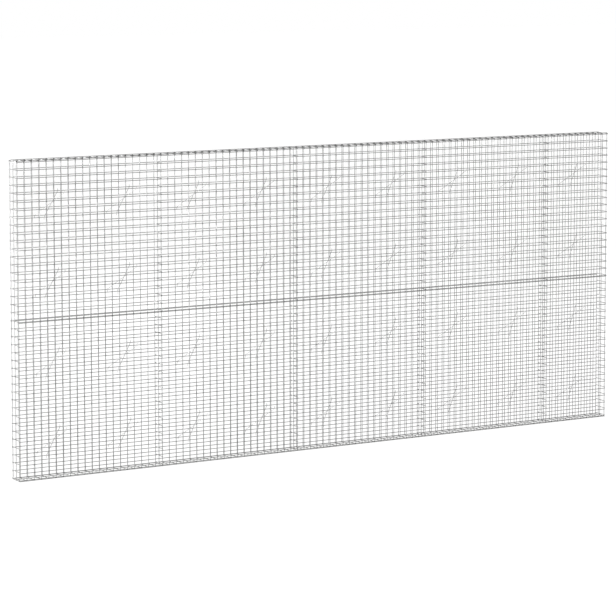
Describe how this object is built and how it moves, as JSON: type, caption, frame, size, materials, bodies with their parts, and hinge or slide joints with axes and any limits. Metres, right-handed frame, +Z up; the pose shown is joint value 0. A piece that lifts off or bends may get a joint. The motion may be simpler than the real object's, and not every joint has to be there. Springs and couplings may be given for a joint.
{
  "type": "gabion wall",
  "caption": "Empty free-standing gabion wall of welded steel mesh in bays and two tiers, with mesh lid, floor, partitions and crossed ties.",
  "frame": {"origin": "on the ground, in the middle of the wall's length and depth", "axes": "+X along the wall towards the short bay, +Y from the front face to the back face, +Z up"},
  "size_m": [4.511, 0.1262, 2.0168],
  "materials": {
    "mesh_wire": "hot-dip galvanised, dull satin",
    "tie_wire": "hot-dip galvanised, dull satin"
  },
  "bodies": {
    "root": {"front_lower_1": "mesh_wire", "front_upper_1": "mesh_wire", "back_lower_1": "mesh_wire", "back_upper_1": "mesh_wire", "floor_1": "mesh_wire", "lid_1": "mesh_wire", "ties_1": "tie_wire", "front_lower_2": "mesh_wire", "front_upper_2": "mesh_wire", "back_lower_2": "mesh_wire", "back_upper_2": "mesh_wire", "floor_2": "mesh_wire", "lid_2": "mesh_wire", "ties_2": "tie_wire", "front_lower_3": "mesh_wire", "front_upper_3": "mesh_wire", "back_lower_3": "mesh_wire", "back_upper_3": "mesh_wire", "floor_3": "mesh_wire", "lid_3": "mesh_wire", "ties_3": "tie_wire", "front_lower_4": "mesh_wire", "front_upper_4": "mesh_wire", "back_lower_4": "mesh_wire", "back_upper_4": "mesh_wire", "floor_4": "mesh_wire", "lid_4": "mesh_wire", "ties_4": "tie_wire", "front_lower_5": "mesh_wire", "front_upper_5": "mesh_wire", "back_lower_5": "mesh_wire", "back_upper_5": "mesh_wire", "floor_5": "mesh_wire", "lid_5": "mesh_wire", "ties_5": "tie_wire", "partition_1": "mesh_wire", "partition_2": "mesh_wire", "partition_3": "mesh_wire", "partition_4": "mesh_wire", "end_left": "mesh_wire", "end_right": "mesh_wire"}
  },
  "joints": []
}
